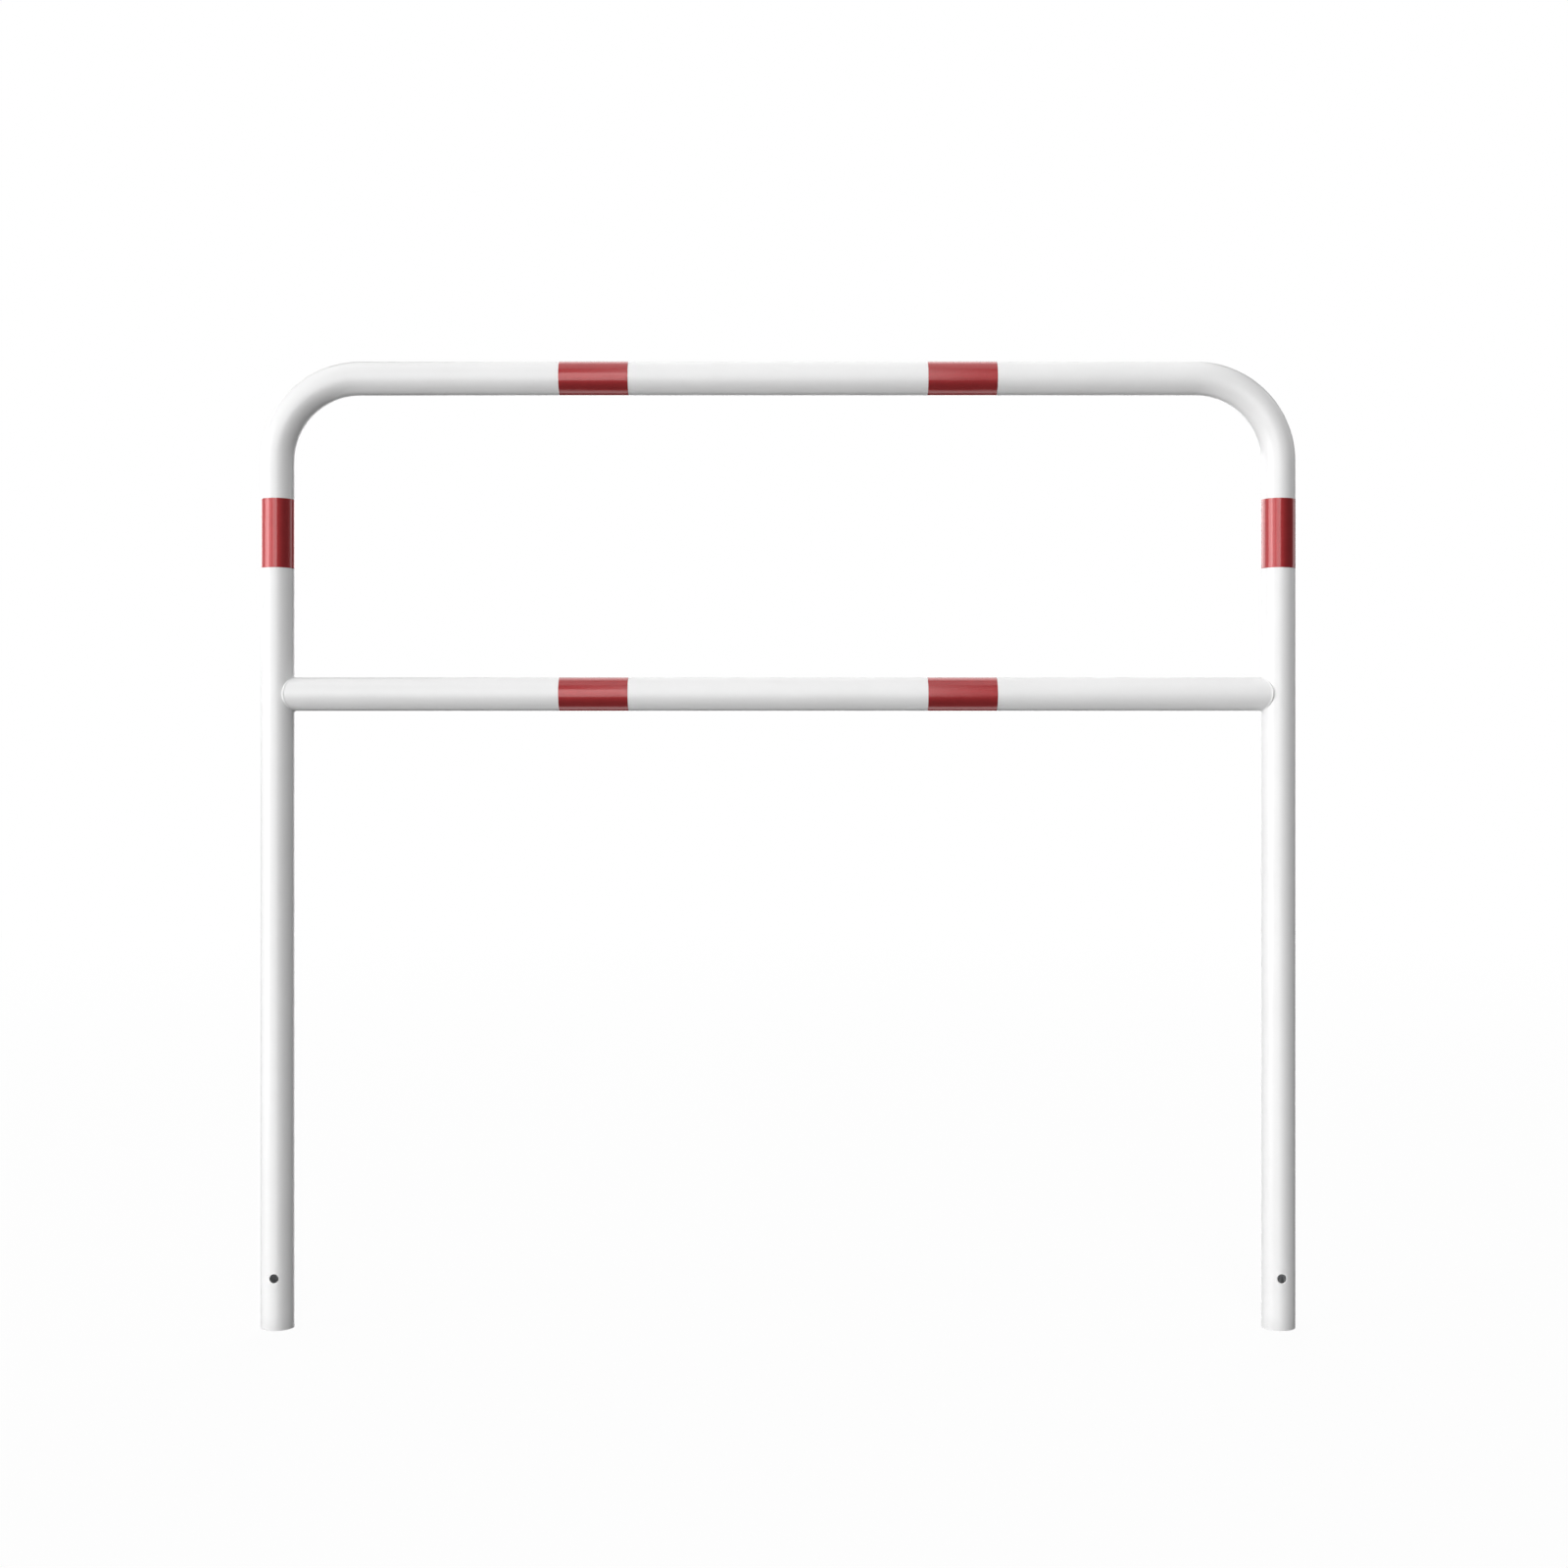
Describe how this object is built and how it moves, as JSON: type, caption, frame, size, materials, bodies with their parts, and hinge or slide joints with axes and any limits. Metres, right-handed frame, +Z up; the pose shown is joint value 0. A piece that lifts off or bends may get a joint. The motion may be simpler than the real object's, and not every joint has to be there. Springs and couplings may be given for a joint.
{
  "type": "tubular hoop barrier",
  "caption": "White tubular steel barrier: a bent inverted-U hoop for setting in the ground, with a welded mid rail and red reflective bands.",
  "frame": {"origin": "on the plane of the leg ends, midway between the two legs", "axes": "+X along the barrier, +Y from the front to the back, +Z up the legs; metres"},
  "size_m": [1.5008, 0.0497, 1.4004],
  "materials": {
    "white_powder_coat": "satin white powder coat over galvanised steel",
    "red_reflective_film": "glossy red retroreflective film"
  },
  "bodies": {
    "root": {"hoop_tube": "white_powder_coat", "mid_rail": "white_powder_coat", "weld_left": "white_powder_coat", "weld_right": "white_powder_coat", "band_top_left": "red_reflective_film", "band_top_right": "red_reflective_film", "band_rail_left": "red_reflective_film", "band_rail_right": "red_reflective_film", "band_leg_left": "red_reflective_film", "band_leg_right": "red_reflective_film"}
  },
  "joints": []
}
